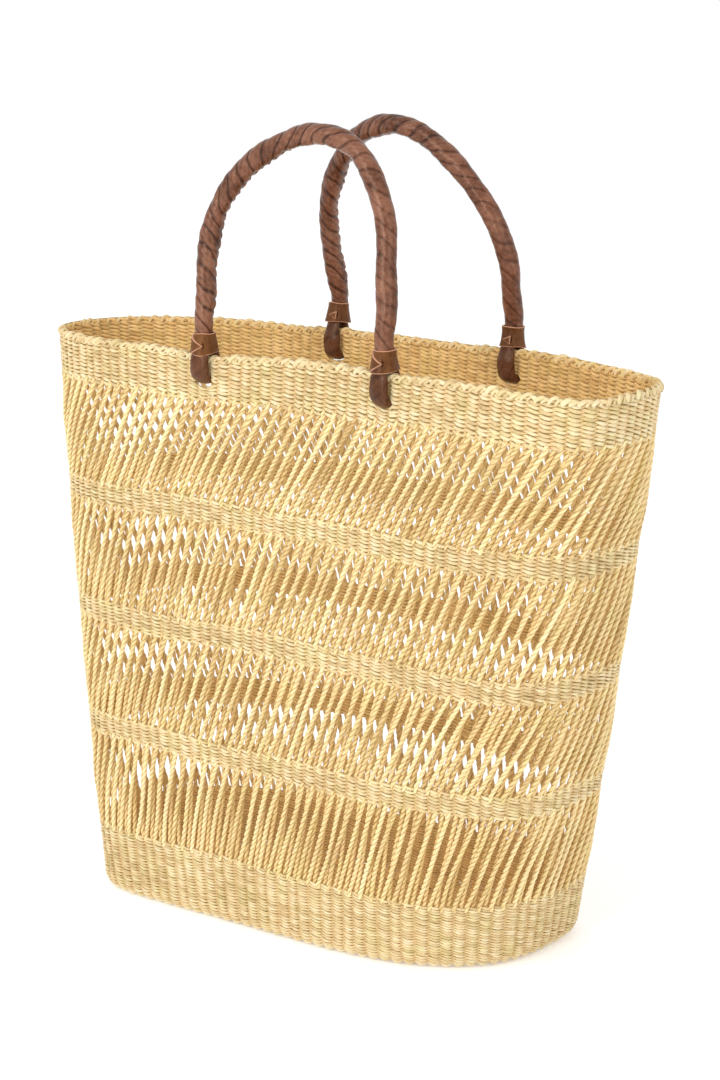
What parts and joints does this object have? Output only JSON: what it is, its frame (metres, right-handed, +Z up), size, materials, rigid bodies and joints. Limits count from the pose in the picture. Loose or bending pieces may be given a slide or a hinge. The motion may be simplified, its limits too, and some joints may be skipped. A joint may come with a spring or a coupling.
{
  "type": "woven market basket",
  "caption": "Tall, slender open-topped basket of twisted grass cord with closed and openwork bands and leather-wrapped bail handles for carrying shopping.",
  "frame": {"origin": "middle of the flat underside", "axes": "+X along the basket to its right end, -Y out of its front wall, +Z up"},
  "size_m": [0.4151, 0.1565, 0.4792],
  "materials": {
    "woven_grass": "dry twined grass cord, light straw colour",
    "grass_cord": "two-ply twisted grass cord, straw colour",
    "woven_base": "twined grass, a little darker",
    "rim_grass": "folded cord ends, light straw colour",
    "grass_roll": "tight roll of grass",
    "handle_leather": "dark brown waxed leather, spirally wrinkled, semi-gloss",
    "collar_leather": "brown leather with raw lighter edges"
  },
  "bodies": {
    "basket": {"base_floor": "woven_base", "foot_band": "woven_grass", "openwork_below_lower_band": "grass_cord", "woven_band_lower": "woven_grass", "openwork_below_middle_band": "grass_cord", "woven_band_middle": "woven_grass", "openwork_below_upper_band": "grass_cord", "woven_band_upper": "woven_grass", "openwork_below_rim": "grass_cord", "rim_band": "woven_grass", "rim_border": "rim_grass", "front_left_loop": "handle_leather", "front_left_collar": "collar_leather", "front_right_loop": "handle_leather", "front_right_collar": "collar_leather", "back_left_loop": "handle_leather", "back_left_collar": "collar_leather", "back_right_loop": "handle_leather", "back_right_collar": "collar_leather"},
    "front_handle": {"front_handle_core": "grass_roll", "front_handle_wrap": "handle_leather"},
    "back_handle": {"back_handle_core": "grass_roll", "back_handle_wrap": "handle_leather"}
  },
  "joints": [
    {"name": "front_handle_swing", "type": "hinge", "parent": "basket", "child": "front_handle", "pos_m": [0.02201, -0.05644, 0.36788], "axis": [0.9983, 0.058, -0.0002], "range_deg": [-14, 65]},
    {"name": "back_handle_swing", "type": "hinge", "parent": "basket", "child": "back_handle", "pos_m": [0.01927, 0.05971, 0.36786], "axis": [0.9998, -0.0189, 0.0007], "range_deg": [-65, 12]}
  ]
}
